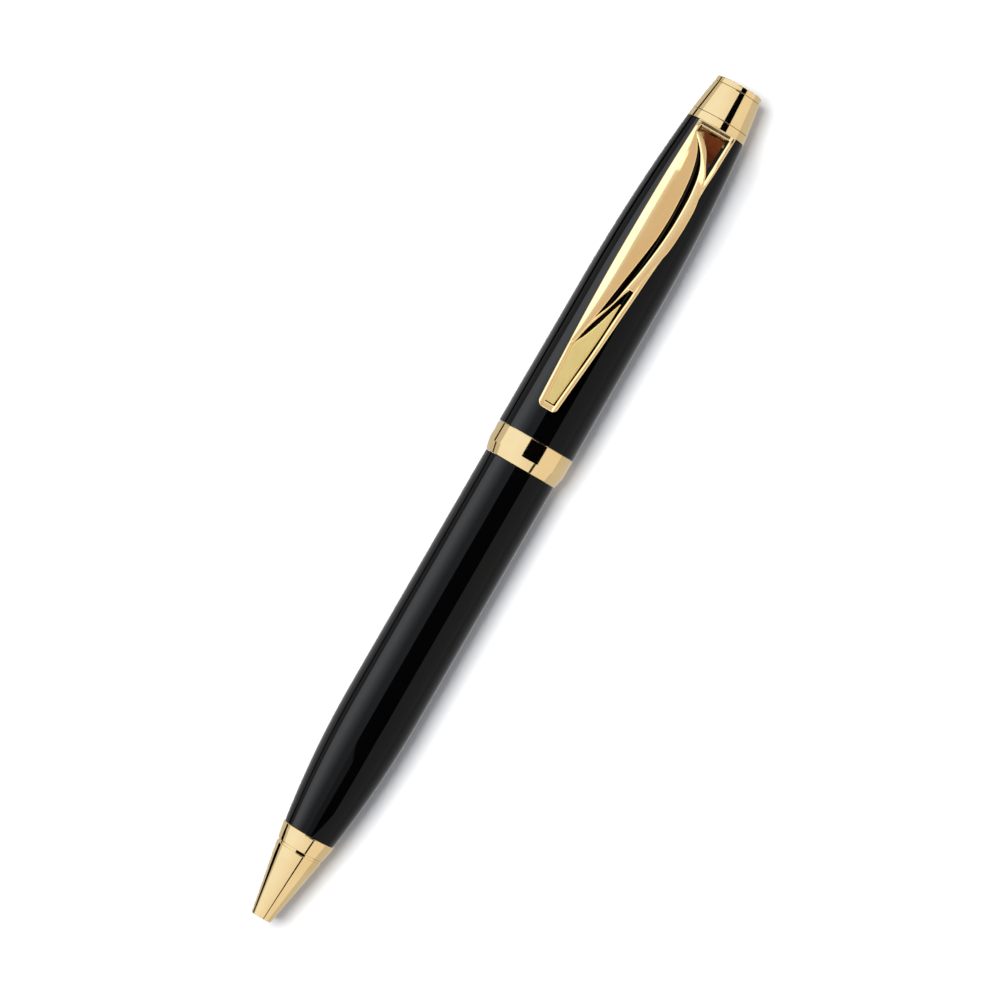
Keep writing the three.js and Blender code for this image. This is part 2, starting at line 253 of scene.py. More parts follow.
def enamel_material():
    """Brown glass enamel, darker at the nose end and lighter towards the finial end, clouded with noise."""
    m = Nodes("amber_enamel")
    m.set(Roughness=0.1, Specular_IOR_Level=0.35, Coat_Weight=0.1, Coat_Roughness=0.04)
    split = m.add("ShaderNodeSeparateXYZ")
    coordinates = m.add("ShaderNodeTexCoord")
    m.join(coordinates.outputs["Object"], split.inputs["Vector"])
    low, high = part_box("clip_inlay")
    height = m.add("ShaderNodeMapRange")
    height.inputs["From Min"].default_value = low.x
    height.inputs["From Max"].default_value = high.x
    m.join(split.outputs["X"], height.inputs["Value"])
    cloud = m.noise(900.0, 3.0)
    mixed = m.add("ShaderNodeMath", operation="MULTIPLY_ADD")
    mixed.inputs[1].default_value = 0.5
    m.join(cloud, mixed.inputs[0])
    m.join(height.outputs["Result"], mixed.inputs[2])
    m.colour(m.ramp(mixed.outputs["Value"], (0.010, 0.002, 0.001), (0.115, 0.026, 0.006), 0.25, 1.2))
    m.bump(cloud, 0.05, 0.00003)
    return m.material


GOLD = gold_material()
CLIP_GOLD = clip_gold_material()
PANEL_GOLD = panel_gold_material()
BRASS = brass_material()
WIRE = steel_material("spring_steel", EVEN)
STEEL = steel_material("tube_steel", ALONG)
NICKEL = nickel_material()
CARBIDE = carbide_material()
LACQUER = lacquer_material()
NYLON = plastic_material("ivory_nylon", (0.62, 0.59, 0.50), (0.72, 0.69, 0.61), (0.35, 0.5), 0.2)
RUBBER = plastic_material("black_rubber", (0.012, 0.012, 0.012), (0.025, 0.025, 0.025), (0.6, 0.8), 0.5)
INK = plastic_material("ink_paste", (0.008, 0.012, 0.07), (0.02, 0.03, 0.13), (0.08, 0.16), 0.05)
ENAMEL = enamel_material()


# ---------------------------------------------------------------------------
# Mesh building
# ---------------------------------------------------------------------------
def link_mesh(bm, name):
    """Turns a bmesh into an object in the scene."""
    mesh = bpy.data.meshes.new(name)
    bm.to_mesh(mesh)
    bm.free()
    obj = bpy.data.objects.new(name, mesh)
    bpy.context.scene.collection.objects.link(obj)
    return obj


def finish_mesh(bm, name, crease=30.0):
    """Links a closed mesh as a smooth object whose sharp edges stay sharp."""
    bmesh.ops.remove_doubles(bm, verts=bm.verts, dist=1e-8)
    bmesh.ops.recalc_face_normals(bm, faces=bm.faces)
    for face in bm.faces:
        face.smooth = True
    for edge in bm.edges:
        if len(edge.link_faces) == 2 and edge.calc_face_angle(0.0) > math.radians(crease):
            edge.smooth = False
    return link_mesh(bm, name)


def publish(obj, body, material, *nodes):
    """Gives a piece its material in a slot, hides the CAD nodes it stands for, and attaches it to the body it
    rides on.
    """
    if not obj.data.materials:
        obj.data.materials.append(material)
    if nodes:
        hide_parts(*nodes)
    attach(obj, body)
    return obj


def circle(bm, x, radius_at, around):
    """A ring of vertices round the axis; radius_at gives the radius at an angle."""
    ring = []
    for i in range(around):
        angle = 2 * math.pi * i / around
        r = radius_at(angle)
        ring.append(bm.verts.new(place(x, r * math.cos(angle), r * math.sin(angle))))
    return ring


def steady(radius):
    """The same radius at every angle."""
    return lambda angle: radius


def grid_faces(bm, rings, closed_along=False):
    """Quads between neighbouring rings of vertices; each ring is closed on itself."""
    pairs = list(zip(rings, rings[1:]))
    if closed_along:
        pairs.append((rings[-1], rings[0]))
    for a, b in pairs:
        for i in range(len(a)):
            j = (i + 1) % len(a)
            bm.faces.new((a[i], a[j], b[j], b[i]))


def rounded(outline):
    """Rounds the corners of an outline of (x, r) or (x, r, radius) points."""
    points = []
    count = len(outline)
    for i, corner in enumerate(outline):
        here = Vector(corner[:2])
        radius = corner[2] if len(corner) > 2 else 0.0
        if not radius:
            points.append(here)
            continue
        before = (Vector(outline[i - 1][:2]) - here).normalized()
        after = (Vector(outline[(i + 1) % count][:2]) - here).normalized()
        half = before.angle(after) / 2
        reach = radius / math.tan(half)
        centre = here + (before + after).normalized() * (radius / math.sin(half))
        start = here + before * reach - centre
        end = here + after * reach - centre
        for step in range(6):
            direction = start.lerp(end, step / 5).normalized()
            points.append(centre + direction * radius)
    return points


def supported(points, close=0.12):
    """Extra points near both ends of each long straight run, so shading stays true to the edge."""
    result = []
    for a, b in zip(points, points[1:] + points[:1]):
        result.append(a)
        length = (b - a).length
        if length > 5 * close:
            result += [a.lerp(b, close / length), b.lerp(a, close / length)]
    return result


def turned(name, outline, around=AROUND):
    """A solid of revolution from a closed outline; points on the axis become poles."""
    bm = bmesh.new()
    rings = []
    for x, r in supported(rounded(outline)):
        if r < 1e-6:
            rings.append([bm.verts.new(place(x, 0, 0))])
        else:
            rings.append(circle(bm, x, steady(r), around))
    for a, b in zip(rings, rings[1:] + rings[:1]):
        if len(a) == 1 and len(b) == 1:
            continue
        for i in range(around):
            j = (i + 1) % around
            if len(a) == 1:
                bm.faces.new((a[0], b[j], b[i]))
            elif len(b) == 1:
                bm.faces.new((a[i], a[j], b[0]))
            else:
                bm.faces.new((a[i], a[j], b[j], b[i]))
    return finish_mesh(bm, name)


def wire(name, path, radius, sides=12):
    """Round wire along a list of points in the pen's coordinates, closed at both ends."""
    bm = bmesh.new()
    points = [place(*p) for p in path]
    rings = []
    for i, point in enumerate(points):
        ahead = points[min(i + 1, len(points) - 1)] - points[max(i - 1, 0)]
        tangent = ahead.normalized()
        outward = Vector((0, point.y, point.z - AXIS_Z)).normalized()
        side = tangent.cross(outward).normalized()
        up = side.cross(tangent)
        ring = []
        for k in range(sides):
            angle = 2 * math.pi * k / sides
            ring.append(bm.verts.new(point + (side * math.cos(angle) + up * math.sin(angle)) * radius * MM))
        rings.append(ring)
    grid_faces(bm, rings)
    bm.faces.new(rings[0])
    bm.faces.new(rings[-1])
    return finish_mesh(bm, name)


def threaded_outline(x0, x1, root, crest, pitch):
    """Stations, and the radius by angle at each, of a screw thread that fades out at both ends."""
    half_width = 0.34
    step = 0.06

    def thread(x):
        fade = min(1.0, (x - x0) / pitch, (x1 - x) / pitch)

        def radius_at(angle):
            phase = (x / pitch + angle / (2 * math.pi)) % 1.0
            ridge = max(0.0, 1.0 - abs(phase - 0.5) / half_width)
            return root + (crest - root) * ridge * max(fade, 0.0)
        return radius_at
    return spaced(x0, x1, int((x1 - x0) / step)), thread


def screw(name, lead_in, x0, x1, root, crest, pitch, rest, around=AROUND_INSIDE):
    """A turned piece whose outline carries a real thread between x0 and x1."""
    stations, thread = threaded_outline(x0, x1, root, crest, pitch)
    bm = bmesh.new()
    rings = [circle(bm, x, steady(r), around) for x, r in rounded(lead_in)]
    rings += [circle(bm, x, thread(x), around) for x in stations]
    rings += [circle(bm, x, steady(r), around) for x, r in rounded(rest)]
    grid_faces(bm, rings, closed_along=True)
    return finish_mesh(bm, name)


def cut(obj, low, high):
    """Takes a box, in the pen's coordinates, out of a piece."""
    bm = bmesh.new()
    bmesh.ops.create_cube(bm, size=1.0)
    a, b = place(*low), place(*high)
    size = b - a
    fit = Matrix.Translation((a + b) / 2) @ Matrix.Diagonal((*size, 1))
    bmesh.ops.transform(bm, matrix=fit, verts=bm.verts)
    tool = finish_mesh(bm, obj.name + "_tool")
    combine(obj, tool, "DIFFERENCE")


def combine(obj, other, operation):
    """Applies a boolean and deletes the other mesh."""
    modifier = obj.modifiers.new("combine", "BOOLEAN")
    modifier.operation = operation
    modifier.solver = "EXACT"
    modifier.object = other
    bpy.context.view_layer.update()
    evaluated = obj.evaluated_get(bpy.context.evaluated_depsgraph_get())
    mesh = bpy.data.meshes.new_from_object(evaluated)
    obj.modifiers.clear()
    obj.data = mesh
    bpy.data.objects.remove(other)


# ---------------------------------------------------------------------------
# Lower half
# ---------------------------------------------------------------------------
def build_nose_cone():
    outline = [
        (0, 1.27, 0.05), (0, 1.6, 0.12), (3, 2.15), (7.2, 2.95), (CONE_TOP, CONE_R, 0.08),
        (CONE_TOP + 0.05, CONE_R - 0.12, 0.04), (COLLAR_BOTTOM, CONE_R - 0.12), (COLLAR_BOTTOM, 3.1),
        (19, 3.1, 0.1), (19, 2.65, 0.1), (COLLAR_BOTTOM, 2.65), (COLLAR_BOTTOM - 0.1, 1.75), (7.2, 1.75),
        (6.4, 1.3), (4.5, 1.27),
    ]
    return publish(turned("nose_cone_body", outline), "lower", GOLD, "nose_cone")


def build_nose_collar():
    x0, x1 = COLLAR_BOTTOM + 0.05, BARREL_BOTTOM - 0.05
    outline = [
        (x0, 3.15), (x0, 3.7, 0.1), (13.0, 4.03), (x1 - 0.02, 4.21, 0.1), (x1, 3.4),
        (17, 3.4, 0.1), (17, 3.15),
    ]
    return publish(turned("nose_collar_ring", outline), "lower", GOLD, "nose_collar")


def build_lower_barrel():
    curve = [(x, lower_radius(x)) for x in spaced(BARREL_BOTTOM + 0.1, LOWER_ARC_X, 44)]
    mouth = [(SEAM - 0.05, LOWER_R, 0.12), (SEAM - 0.05, 5.05, 0.05)]
    bore = [(65.9, 5.05), (65.9, 4.9), (36, 4.9), (22, 4.2), (17.5, 3.45), (BARREL_BOTTOM, 3.45, 0.05)]
    toe = [(BARREL_BOTTOM, lower_radius(BARREL_BOTTOM), 0.03)]
    outline = toe + curve + mouth + bore
    return publish(turned("lower_barrel_tube", outline), "lower", LACQUER, "lower_barrel")


def build_barrel_bush():
    """The bush's thread is cut outwards from its bore, so the nipple's crests clear it."""
    outside = [(75.6, 4.27), (75.6, 5.0), (66.0, 5.0), (66.0, 4.27)]
    bush = screw("barrel_bush_thread", [], 67.0, 75.0, 4.25, 4.5, THREAD_PITCH, outside)
    return publish(bush, "lower", BRASS, "barrel_bush")


SPRING_START = 11.7
SPRING_END = 24.75
SPRING_TURNS = 8
SPRING_R = 2.15
SPRING_WIRE = 0.2  # the wire's radius


def build_return_spring():
    """A wire coil with a closed turn at each end."""
    path = []
    steps = SPRING_TURNS * 40
    for i in range(steps + 1):
        t = i / steps
        eased = t - 0.09 * math.sin(2 * math.pi * t)
        angle = 2 * math.pi * SPRING_TURNS * t
        x = SPRING_START + (SPRING_END - SPRING_START) * eased
        path.append((x, SPRING_R * math.cos(angle), SPRING_R * math.sin(angle)))
    spring = publish(wire("return_spring_coil", path, SPRING_WIRE), "lower", WIRE, "return_spring")
    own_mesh(spring)
    return spring


# ---------------------------------------------------------------------------
# Twist mechanism
# ---------------------------------------------------------------------------
def build_threaded_nipple():
    lead_in = [(68.5, 3.2), (68.6, 3.95)]
    rest = [
        (75.4, 3.95), (75.4, 4.22, 0.08), (77.4, 4.22), (77.4, 3.72), (78.2, 3.72), (78.2, 4.22),
        (84.35, 4.22), (84.35, 3.85), (85.25, 3.85), (85.25, 4.1), (88, 4.1, 0.1), (88, 3.7),
        (84, 3.7), (84, 3.2),
    ]
    nipple = screw("threaded_nipple_body", lead_in, 68.9, 75.2, 3.95, 4.18, THREAD_PITCH, rest)
    return publish(nipple, "mechanism", BRASS, "threaded_nipple")


def build_friction_ring():
    x, r, thick = 77.8, 4.0, 0.27
    angles = spaced(0, 2 * math.pi, 24)[1:]
    section = [(x + thick * math.cos(a), r + thick * math.sin(a)) for a in angles]
    ring = turned("friction_ring_rubber", section, AROUND_INSIDE)
    return publish(ring, "mechanism", RUBBER, "friction_ring")


def build_retaining_ring():
    outline = [(84.4, 3.9), (84.4, 4.95, 0.08), (85.2, 4.95, 0.08), (85.2, 3.9)]
    ring = turned("retaining_ring_split", outline, AROUND_INSIDE)
    cut(ring, (84, -1.2, -6), (86, 1.2, 0))
    return publish(ring, "mechanism", WIRE, "retaining_ring")


# ---------------------------------------------------------------------------
# Refill
# ---------------------------------------------------------------------------
POINT_X = 1.6
BALL_R = 0.5
REFILL_R = 2.95


def build_writing_ball():
    half_turn = spaced(0, math.pi, 32)
    centre = POINT_X + BALL_R
    outline = [(centre - BALL_R * math.cos(a), BALL_R * math.sin(a)) for a in half_turn]
    outline[0] = (centre - BALL_R, 0.0)
    outline[-1] = (centre + BALL_R, 0.0)
    return publish(turned("writing_ball_sphere", outline, AROUND_SMALL), "ball", CARBIDE, "writing_ball")


def build_refill_tip():
    seat = POINT_X + BALL_R
    end = POINT_X + 10.9
    outline = [
        (seat - 0.3, 0.44), (seat - 0.3, 0.5, 0.02), (seat, 0.62), (POINT_X + 3, 1.12), (end, 1.12, 0.05),
        (end, 0.3), (seat + 0.6, 0.3), (seat + 0.4, 0.46), (seat, 0.56),
    ]
    return publish(turned("refill_tip_socket", outline, AROUND_INSIDE), "refill", NICKEL, "refill_tip")


def build_refill_neck():
    x0 = POINT_X + 10.95
    outline = [
        (x0, 0.8), (x0, 1.5, 0.15), (25, 1.6), (25, 2.4, 0.1), (26, REFILL_R, 0.1), (27.5, REFILL_R, 0.05),
        (27.5, 2.4), (31, 2.4, 0.1), (31, 0.8),
    ]
    return publish(turned("refill_neck_nose", outline, AROUND_INSIDE), "refill", NYLON, "refill_neck")


def build_refill_tube():
    crimp_r = REFILL_R - 0.12
    outline = [
        (27.55, 2.45), (27.55, REFILL_R, 0.1), (89, REFILL_R), (89.2, crimp_r, 0.1), (89.6, crimp_r, 0.1),
        (89.8, REFILL_R), (94, REFILL_R, 0.1), (94, 2.45),
    ]
    return publish(turned("refill_tube_body", outline, AROUND_INSIDE), "refill", STEEL, "refill_tube")


def build_ink():
    outline = [(31.2, 0), (31.2, 2.2), (31.6, 2.4), (81.4, 2.4), (82, 2.1), (81.6, 0)]
    return publish(turned("ink_column", outline, AROUND_SMALL), "refill", INK, "ink")


def build_refill_end_cap():
    outline = [(88, 0), (88, 2.4, 0.1), (94.05, 2.4), (94.05, 2.7, 0.08), (99.7, 2.7, 0.2), (99.7, 0)]
    cap = turned("refill_end_cap_notched", outline, AROUND_INSIDE)
    cut(cap, (98, -4, -0.4), (101, 4, 0.4))
    cut(cap, (98, -0.4, -4), (101, 0.4, 4))
    return publish(cap, "refill", NYLON, "refill_end_cap")


# ---------------------------------------------------------------------------
# Upper half
# ---------------------------------------------------------------------------
def build_centre_band():
    outline = [
        (SEAM, 4.32), (SEAM, LOWER_R + 0.05, 0.08), (SEAM + 1.62, BAND_R, 0.05), (BAND_TOP, BAND_R, 0.06),
        (BAND_TOP, 5.2), (84.2, 5.2, 0.1), (84.2, 4.32, 0.05),
    ]
    return publish(turned("centre_band_ring", outline), "upper", GOLD, "centre_band")


def build_upper_barrel():
    x0 = BAND_TOP + 0.05
    straight = [(x0, 5.25), (x0, UPPER_R, 0.1), (92.0, upper_radius(92.0))]
    curve = [(x, upper_radius(x)) for x in spaced(UPPER_ARC_X, BARREL_TOP - 0.05, 40)]
    bore = [(BARREL_TOP, 4.6, 0.04), (BARREL_TOP, 4.02), (124, 4.02), (116, 4.95), (109.5, 5.22)]
    barrel = turned("upper_barrel_tube", straight + curve + bore)
    cut(barrel, (130.7, -2.3, 3.2), (134, 2.3, 6))
    return publish(barrel, "upper", LACQUER, "upper_barrel")


def build_clip_ring():
    x0, x1 = BARREL_TOP + 0.05, RING_TOP - 0.05
    outline = [(x0, 1.55), (x0, 4.68, 0.06), (x1, 4.53, 0.06), (x1, 1.55)]
    return publish(turned("clip_ring_gold", outline), "upper", GOLD, "clip_ring")


def build_finial():
    body = [
        (RING_TOP, 1.55), (RING_TOP, 4.53, 0.06), (CAP_TOP, 3.75, 0.06), (CAP_TOP, 1.1),
        (138.2, 1.1), (138.2, 0), (137.6, 0), (137.6, 1.55),
    ]
    publish(turned("finial_cone", body), "upper", GOLD, "finial_body")
    x0 = CAP_TOP + 0.05
    disc = [(x0, 1.05), (x0, 3.71, 0.06), (LENGTH, 3.67, 0.15), (LENGTH, 0), (138.3, 0), (138.3, 1.05)]
    return publish(turned("finial_top_disc", disc), "upper", GOLD, "finial_disc")


def build_finial_fixings():
    rod = [(121, 0), (121, 1.48, 0.15), (137.5, 1.48, 0.15), (137.5, 0)]
    publish(turned("finial_stud_rod", rod, AROUND_SMALL), "upper", STEEL, "finial_stud")
    plug = [(123.8, 1.55, 0.1), (123.8, 3.95, 0.2), (132.25, 3.95, 0.2), (132.25, 1.55, 0.1)]
    plug_body = turned("end_plug_body", plug, AROUND_INSIDE)
    cut(plug_body, (130.7, -2.3, 3.2), (133, 2.3, 6))
    publish(plug_body, "upper", BRASS, "end_plug")
    washer = [(123.25, 1.6, 0.05), (123.25, 2.9, 0.08), (123.75, 2.9, 0.08), (123.75, 1.6, 0.05)]
    publish(turned("lock_washer_ring", washer, AROUND_SMALL), "upper", WIRE, "lock_washer")


# ---------------------------------------------------------------------------
# Clip
# ---------------------------------------------------------------------------
CLIP_TIP = 85.05
CLIP_END = 132.75
CLIP_Z = 8.4
CLIP_THICK = 1.2
BEND_X = 124.0
BEND_DROP = 2.4  # how far the arm comes down by the top of the barrel
BEND_RADIUS = ((BARREL_TOP - BEND_X) ** 2 + BEND_DROP**2) / (2 * BEND_DROP)
EDGE = 0.12  # radius of the upper edges
TIP_CORNER_LEFT = 0.95
TIP_CORNER_RIGHT = 0.75
INNER_CORNER = 0.2

# The pad that presses on the barrel
PAD_X = 87.6
PAD_Y = 1.0
PAD_Z = 7.15
PAD_R = 0.9

# Edges of the clip's parts seen from above: x from the writing end, y across.
LEFT = [(85, 2.62), (87.3, 2.73), (92, 2.92), (101.9, 3.22), (109, 3.31), (120.8, 3.21), (132.8, 2.81)]
RIGHT = [
    (85, -0.42), (88.8, -0.76), (94.6, -1.30), (100.4, -1.76), (106.3, -2.20), (110.6, -2.52),
    (112.1, -2.70), (113.5, -2.97), (115.5, -3.15), (117.9, -3.24), (120.0, -3.22), (121.2, -3.10),
    (122.3, -2.92), (123.7, -2.93), (126.6, -3.09), (132.8, -3.28),
]
LEAF_RIGHT = [
    (95.6, 2.5), (99.85, 1.58), (103.3, 1.01), (106.3, 0.58), (109.2, 0.14), (112.1, -0.29), (115, -0.60),
    (117.9, -0.70), (120.8, -0.61), (123.7, -0.38), (125.9, 0.0), (128, 0.62), (129.6, 1.5), (130.6, 2.3),
]
RIBBON_LEFT = [
    (106.0, -0.24), (109.2, -0.81), (112.1, -1.21), (115, -1.50), (117.9, -1.64), (120.8, -1.62),
    (123.7, -1.38), (125.9, -0.90), (128, 0.12), (129.5, 1.35), (130.7, 2.55),
]
RIBBON_RIGHT = [
    (106.0, -1.5), (109.2, -2.1), (112.1, -2.66), (113.5, -2.95), (115.5, -3.13), (117.9, -3.22),
    (120.0, -3.2), (122.3, -2.9), (125.3, -2.23), (127.2, -1.31), (128.9, -0.39), (130.2, 0.79),
    (130.7, 1.5),
]
DIAGONAL_LEFT = [
    (95.3, 2.65), (97.5, 2.15), (99.85, 1.60), (103.3, 0.31), (106.3, -0.27), (109.2, -0.79), (110.5, -0.98),
]
DIAGONAL_RIGHT = [(95.3, 2.35), (98.5, 1.62), (102.1, 0.40), (105.05, -0.52), (106.8, -1.22), (110.5, -1.9)]
RAIL_RIGHT_INNER = [
    (85, 0.25), (86.35, 0.19), (89.75, -0.12), (95.6, -0.72), (101.9, -1.12), (105.05, -1.42), (106.7, -1.50),
    (110, -1.7), (112, -1.9),
]
RAIL_LEFT_INNER = [(85, 1.75), (86.35, 1.80), (89.75, 2.04), (93.6, 2.27), (95.6, 2.45), (97.5, 2.5)]
PANEL_LEFT = [
    (86.1, 1.95), (89.75, 2.2), (93.6, 2.4), (95.0, 2.4), (97.0, 1.55), (99.4, 0.64), (101.9, -0.12),
    (103.5, -0.68),
]
PANEL_RIGHT = [(86.1, 0.44), (88.8, 0.16), (94.6, -0.34), (99.5, -0.70), (103.5, -0.80)]
UPPER_RAIL_INNER = [(123, -2.3), (125.2, -2.33), (128, -2.42), (131, -2.52), (132.8, -2.6)]


def follow(points, x):
    """A smooth curve through (x, y) points, evaluated at x (Hermite, flattened at turning points)."""
    if x <= points[0][0]:
        return points[0][1]
    if x >= points[-1][0]:
        return points[-1][1]
    i = max(k for k in range(len(points) - 1) if points[k][0] <= x)

    def slope(k):
        if k in (0, len(points) - 1):
            a, b = (0, 1) if k == 0 else (k - 1, k)
            return (points[b][1] - points[a][1]) / (points[b][0] - points[a][0])
        before = (points[k][1] - points[k - 1][1]) / (points[k][0] - points[k - 1][0])
        after = (points[k + 1][1] - points[k][1]) / (points[k + 1][0] - points[k][0])
        if before * after <= 0:
            return 0.0
        return 2 * before * after / (before + after)
    x0, y0 = points[i]
    x1, y1 = points[i + 1]
    h = x1 - x0
    t = (x - x0) / h
    a = (2 * t**3 - 3 * t**2 + 1) * y0 + (t**3 - 2 * t**2 + t) * h * slope(i)
    return a + (3 * t**2 - 2 * t**3) * y1 + (t**3 - t**2) * h * slope(i + 1)


def arm_height(x):
    """The height of the arm's upper face: level, then an arc down to the finial."""
    return CLIP_Z - arc_drop(max(x - BEND_X, 0.0), BEND_RADIUS)


def corner_inset(distance, radius):
    """How far a rounded corner pulls an edge in, at a distance from the end."""
    if distance >= radius:
        return 0.0
    return radius - math.sqrt(max(radius**2 - (radius - distance) ** 2, 0.0))


def end_stations(x0, x1, step, fine):
    """Stations that close up towards both ends, where the edges are rounded."""
    ends = [fine * (1 - math.cos(math.pi / 2 * i / 8)) for i in range(9)]
    inner = spaced(x0 + fine, x1 - fine, max(int((x1 - x0) / step), 4))
    return [x0 + e for e in ends[:-1]] + inner + [x1 - e for e in reversed(ends[:-1])]


def bar_section(yl, yr, bottom, top_at, edge, end_drop):
    """A bar's outline across the clip: left wall, rounded edge, top, rounded edge, right wall."""
    across = 8
    corner = spaced(0, math.pi / 2, 4)
    section = [(yl, bottom)]
    for a in corner:
        y = yl - edge + edge * math.cos(a)
        section.append((y, top_at(y) - edge + edge * math.sin(a) - end_drop))
    for y in spaced(yl - edge, yr + edge, across)[1:-1]:
        section.append((y, top_at(y) - end_drop))
    for a in reversed(corner):
        y = yr + edge - edge * math.cos(a)
        section.append((y, top_at(y) - edge + edge * math.sin(a) - end_drop))
    section.append((yr, bottom))
    return section


def strip(name, x0, x1, left, right, top, thick=CLIP_THICK, corners=(0.0, 0.0), edge=EDGE):
    """A bar that runs along the clip between two edge curves, with rounded upper edges.
    top(x, y) is its upper face, above the arm's; corners are the plan radii at x0 on the left and right."""
    thinnest = 0.02
    bm = bmesh.new()
    rings = []
    reach = max(edge, *corners)
    for x in end_stations(x0, x1, 0.3, min(reach, (x1 - x0) / 3)):
        yl = left(x) - corner_inset(x - x0, corners[0])
        yr = right(x) + corner_inset(x - x0, corners[1])
        if yl - yr < thinnest:
            middle = (yl + yr) / 2
            yl, yr = middle + thinnest / 2, middle - thinnest / 2
        base = arm_height(x)
        end_drop = corner_inset(min(x - x0, x1 - x), edge)
        section = bar_section(
            yl, yr, base - thick, lambda y: base + top(x, y), min(edge, (yl - yr) * 0.35), end_drop
        )
        rings.append([bm.verts.new(place(x, y, z)) for y, z in section])
    grid_faces(bm, rings)
    bm.faces.new(rings[0])
    bm.faces.new(rings[-1])
    return finish_mesh(bm, name)


def along(points):
    """The edge curve through some points, as a function of x."""
    return lambda x: follow(points, x)


def level(offset):
    """A flat face at an offset from the arm's own."""
    return lambda x, y: offset


def crowned(left, right, offset, height):
    """A face that is highest along its middle."""
    def top(x, y):
        middle = (left(x) + right(x)) / 2
        half = max((left(x) - right(x)) / 2, 0.05)
        return offset + height * (1 - ((y - middle) / half) ** 2)
    return top


RIDGE_Y = [(95, 2.75), (99, 2.35), (104, 2.02), (112, 1.82), (122, 1.80), (128, 1.95), (131, 2.4)]


def leaf_top(x, y):
    """Two facets that meet on a soft ridge: shallow on the left, steeper on the right."""
    ridge_height = 0.40
    softness = 0.3
    beside = y - follow(RIDGE_Y, x)
    fall = math.hypot(beside, softness) - softness
    return ridge_height - fall * math.tan(math.radians(12 if beside > 0 else 11.5))


def build_clip():
    """The pierced arm, joined from bars that follow its edges."""
    left, right = along(LEFT), along(RIGHT)
    rail_inner = along(RAIL_RIGHT_INNER)
    left_inner = along(RAIL_LEFT_INNER)
    upper_inner = along(UPPER_RAIL_INNER)
    parts = [
        strip("rail_right", CLIP_TIP, 112, rail_inner, right, crowned(rail_inner, right, 0.0, 0.07),
              corners=(INNER_CORNER, TIP_CORNER_RIGHT)),
        strip("rail_left", CLIP_TIP, 97.3, left, left_inner, crowned(left, left_inner, 0.0, 0.07),
              corners=(TIP_CORNER_LEFT, INNER_CORNER)),
        strip("tip", CLIP_TIP, 86.0, left, right, level(0.03), corners=(TIP_CORNER_LEFT, TIP_CORNER_RIGHT)),
        strip("leaf", 95.4, 131.6, left, along(LEAF_RIGHT), leaf_top),
        strip("ribbon", 105.9, 130.8, along(RIBBON_LEFT), along(RIBBON_RIGHT),
              crowned(along(RIBBON_LEFT), along(RIBBON_RIGHT), 0.24, 0.05)),
        strip("diagonal", 95.3, 110.4, along(DIAGONAL_LEFT), along(DIAGONAL_RIGHT),
              crowned(along(DIAGONAL_LEFT), along(DIAGONAL_RIGHT), 0.16, 0.08)),
        strip("rail_upper", 122.0, CLIP_END, upper_inner, right, crowned(upper_inner, right, 0.04, 0.06)),
        strip("rail_corner", 129.8, CLIP_END, left, along([(129, 2.35), (132.8, 2.1)]), level(0.05)),
        strip("brow", 131.9, CLIP_END, left, right, level(0.05)),
        strip("foot", 131.8, 132.25, lambda x: 2.0, lambda x: -2.0, level(-0.6), thick=2.5),
    ]
    clip = parts[0]
    for part in parts[1:]:
        combine(clip, part, "UNION")
    clip.name = "clip_arm_pierced"
    return publish(clip, "clip_arm", CLIP_GOLD, "clip")


def clip_pad():
    """The round pad under the tip that presses on the barrel; its top is buried in the panel."""
    bm = bmesh.new()
    rings = []
    for i in range(4, 20):
        polar = math.pi * i / 20
        ring = []
        for k in range(32):
            turn = 2 * math.pi * k / 32
            x = PAD_X + PAD_R * math.sin(polar) * math.cos(turn)
            y = PAD_Y + PAD_R * math.sin(polar) * math.sin(turn)
            ring.append(bm.verts.new(place(x, y, PAD_Z + PAD_R * math.cos(polar))))
        rings.append(ring)
    grid_faces(bm, rings)
    bm.faces.new(rings[0])
    bm.faces.new(rings[-1])
    return finish_mesh(bm, "clip_pad")


def build_clip_panel():
    """The sunk panel near the tip, which has a finish of its own."""
    left, right = along(PANEL_LEFT), along(PANEL_RIGHT)
    panel = strip("clip_lower_panel", 86.15, 103.5, left, right, level(-0.42), thick=1.15, edge=0.08)
    combine(panel, clip_pad(), "UNION")
    return publish(panel, "clip_arm", PANEL_GOLD)


INLAY_LEFT = [(126.6, -1.75), (127.4, -1.30), (128.9, -0.35), (130.2, 0.75), (131.3, 1.35)]
INLAY_RIGHT = [(126.6, -1.9), (131.3, -2.05)]


def build_clip_inlay():
    inlay = strip("clip_inlay_enamel", 126.6, 131.3, along(INLAY_LEFT), along(INLAY_RIGHT), level(-0.30),
                  thick=0.9, edge=0.06)
    return publish(inlay, "clip_arm", ENAMEL, "clip_inlay")


BUILDERS = [
    build_nose_cone, build_nose_collar, build_lower_barrel, build_barrel_bush, build_return_spring,
    build_threaded_nipple, build_friction_ring, build_retaining_ring, build_writing_ball, build_refill_tip,
    build_refill_neck, build_refill_tube, build_ink, build_refill_end_cap, build_centre_band,
    build_upper_barrel, build_clip_ring, build_finial, build_finial_fixings, build_clip, build_clip_panel,
    build_clip_inlay,
]
for build in BUILDERS:
    build()


# CAD nodes whose shape is right and that only need their finish.
CARRIED = {
    "guide_sleeve": BRASS, "refill_carrier": NYLON, "cam_sleeve": NYLON,
    "clip_hanger": WIRE, "stud_nut": STEEL,
}
for node, material in CARRIED.items():
    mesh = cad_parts[node].data
    mesh.materials.clear()
    mesh.materials.append(material)


# ---------------------------------------------------------------------------
# Studio
# ---------------------------------------------------------------------------
FLOOR_HALF = 0.4  # the white surroundings go on beyond the floor's edge


